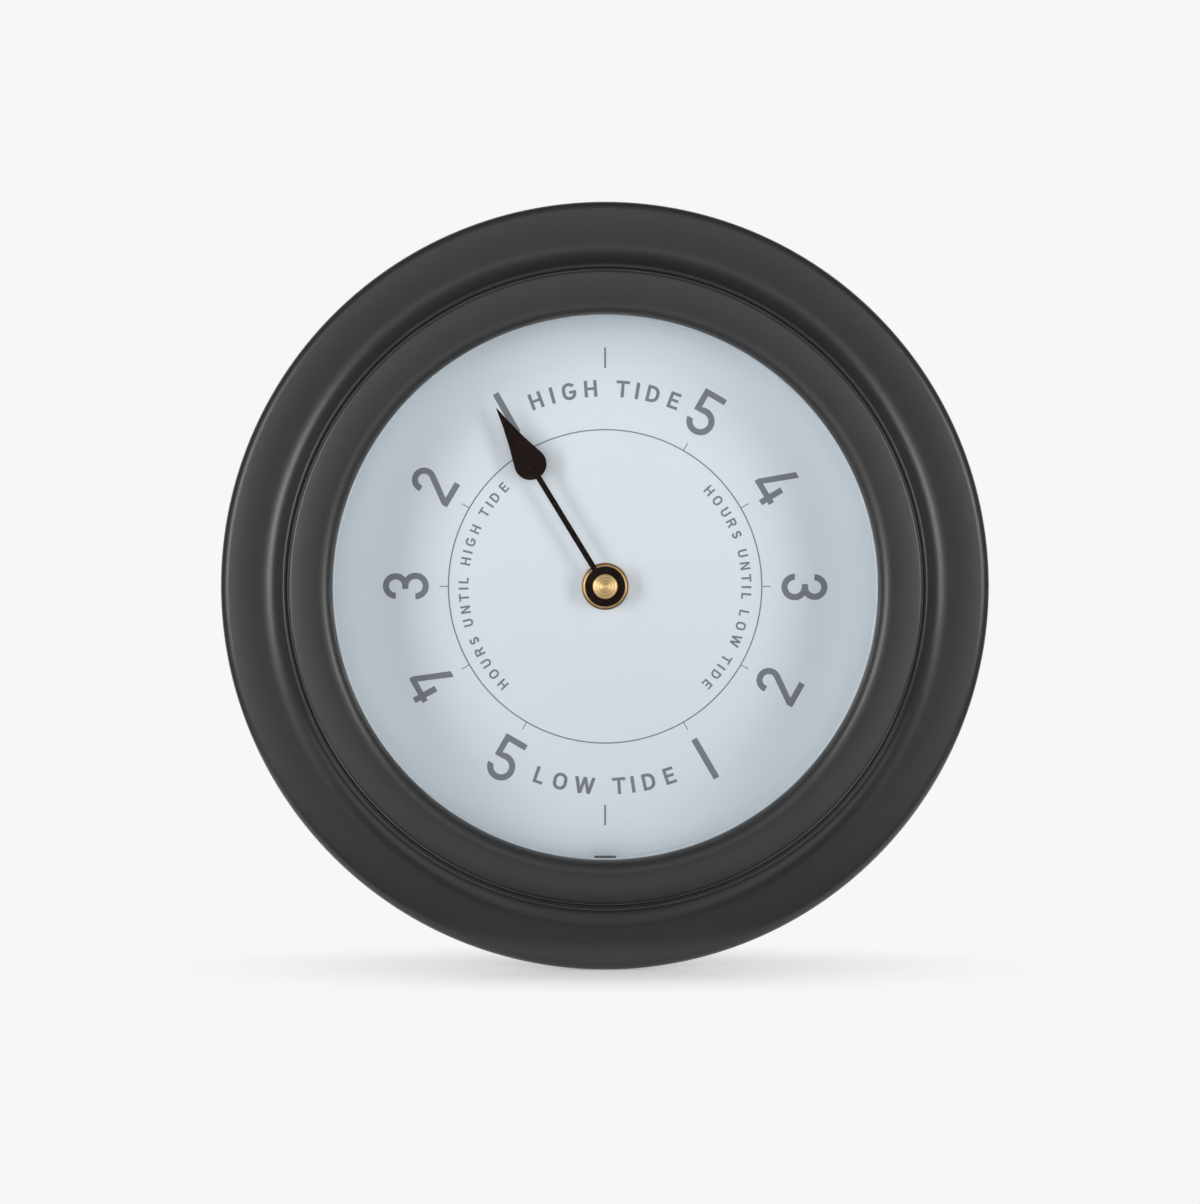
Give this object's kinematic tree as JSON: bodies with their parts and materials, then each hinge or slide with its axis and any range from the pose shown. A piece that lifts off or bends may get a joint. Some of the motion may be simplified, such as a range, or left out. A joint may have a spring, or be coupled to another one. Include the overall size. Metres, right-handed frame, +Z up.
{
  "type": "tide clock",
  "caption": "Round wall tide clock: a spun metal case and glazed bezel over a printed dial with a teardrop hand, driven by a battery quartz movement set by a rear knob.",
  "frame": {"origin": "centre of the round entry hole of the hanger keyhole, in the plane of the wall", "axes": "+Z up (12 o'clock), +X to the right seen from the front, -Y out of the dial, +Y into the wall"},
  "size_m": [0.24, 0.045, 0.24],
  "materials": {
    "case_paint": "satin charcoal powder coat",
    "window_glass": "clear polished float glass",
    "gasket": "matt black",
    "spacer": "satin white",
    "dial_face": "satin pale grey-blue enamel",
    "black_moulding": "fine matt texture",
    "zinc_plate": "zinc plated",
    "brass": "turned, satin",
    "hand_enamel": "gloss black-brown enamel",
    "movement_case": "fine matt texture",
    "gear_white": "moulded",
    "gear_black": "moulded",
    "steel_arbor": "polished steel",
    "magnet": "sintered, ground",
    "soft_iron": "annealed, satin",
    "bobbin": "moulded",
    "copper_wire": "enamelled copper",
    "board": "lacquered laminate",
    "chip": "resin",
    "crystal_can": "drawn, polished",
    "contact_strip": "nickel plated",
    "battery_sleeve": "plain sleeve over a metal can"
  },
  "bodies": {
    "clock_case": {"case_shell": "case_paint", "bezel": "case_paint", "glass_gasket": "gasket", "glass": "window_glass", "spacer_ring": "spacer", "dial": "dial_face", "dial_carrier": "black_moulding", "fixing_lugs": "zinc_plate", "fixing_screws": "zinc_plate", "hanger_plate": "zinc_plate", "movement_front_case": "movement_case", "movement_rear_case": "movement_case", "movement_bushing": "brass", "rubber_washer": "gasket", "dial_washer": "brass", "bushing_nut": "brass", "train_plate": "gear_white", "stator": "soft_iron", "coil_core": "soft_iron", "coil_screws": "zinc_plate", "coil_bobbin": "bobbin", "coil_winding": "copper_wire", "circuit_board": "board", "timing_chip": "chip", "quartz_crystal": "crystal_can", "positive_contact": "contact_strip", "negative_contact": "contact_strip"},
    "tide_hand": {"tide_wheel": "brass", "tide_hand": "hand_enamel", "hand_bush": "brass", "cap_nut": "brass"},
    "reverse_wheel": {"reverse_wheel": "gear_white"},
    "centre_arbor": {"centre_arbor": "steel_arbor", "clutch_spring": "contact_strip"},
    "centre_wheel": {"centre_wheel": "gear_white"},
    "third_wheel": {"third_wheel": "gear_white"},
    "fourth_wheel": {"fourth_wheel": "gear_white"},
    "fifth_wheel": {"fifth_wheel": "gear_white"},
    "rotor": {"rotor_pinion": "gear_black", "rotor_magnet": "magnet"},
    "setting_knob": {"setting_knob": "black_moulding"},
    "battery": {"battery": "battery_sleeve"}
  },
  "joints": [
    {"name": "hand_turn", "type": "hinge", "parent": "clock_case", "child": "tide_hand", "pos_m": [0, -0.02, -0.1], "axis": [0, 1, 0], "continuous": true},
    {"name": "reverse_turn", "type": "hinge", "parent": "clock_case", "child": "reverse_wheel", "pos_m": [0.00509, -0.013, -0.09491], "axis": [0, 1, 0], "continuous": true},
    {"name": "centre_arbor_turn", "type": "hinge", "parent": "clock_case", "child": "centre_arbor", "pos_m": [0, -0.012, -0.1], "axis": [0, 1, 0], "continuous": true},
    {"name": "knob_turn", "type": "hinge", "parent": "clock_case", "child": "setting_knob", "pos_m": [0.01229, -0.005, -0.09491], "axis": [0, 1, 0], "continuous": true},
    {"name": "rotor_turn", "type": "hinge", "parent": "clock_case", "child": "rotor", "pos_m": [-0.00101, -0.007, -0.08413], "axis": [0, 1, 0], "continuous": true},
    {"name": "fifth_turn", "type": "hinge", "parent": "clock_case", "child": "fifth_wheel", "pos_m": [-0.00661, -0.007, -0.08413], "axis": [0, 1, 0], "continuous": true},
    {"name": "fourth_turn", "type": "hinge", "parent": "clock_case", "child": "fourth_wheel", "pos_m": [-0.00985, -0.007, -0.08974], "axis": [0, 1, 0], "continuous": true},
    {"name": "third_turn", "type": "hinge", "parent": "clock_case", "child": "third_wheel", "pos_m": [-0.00396, -0.008, -0.09314], "axis": [0, 1, 0], "continuous": true},
    {"name": "centre_wheel_turn", "type": "hinge", "parent": "clock_case", "child": "centre_wheel", "pos_m": [0, -0.0095, -0.1], "axis": [0, 1, 0], "continuous": true},
    {"name": "battery_slide", "type": "slide", "parent": "clock_case", "child": "battery", "axis": [0, 1, 0], "range_m": [0, 0.02]}
  ],
  "couplings": [
    {"joint": "reverse_turn", "follows": "hand_turn", "ratio": -4},
    {"joint": "centre_arbor_turn", "follows": "hand_turn", "ratio": 12},
    {"joint": "knob_turn", "follows": "hand_turn", "ratio": 12},
    {"joint": "fifth_turn", "follows": "rotor_turn", "ratio": -0.16667},
    {"joint": "fourth_turn", "follows": "rotor_turn", "ratio": 0.033333},
    {"joint": "third_turn", "follows": "rotor_turn", "ratio": -0.0044444},
    {"joint": "centre_wheel_turn", "follows": "rotor_turn", "ratio": 0.00055556}
  ]
}
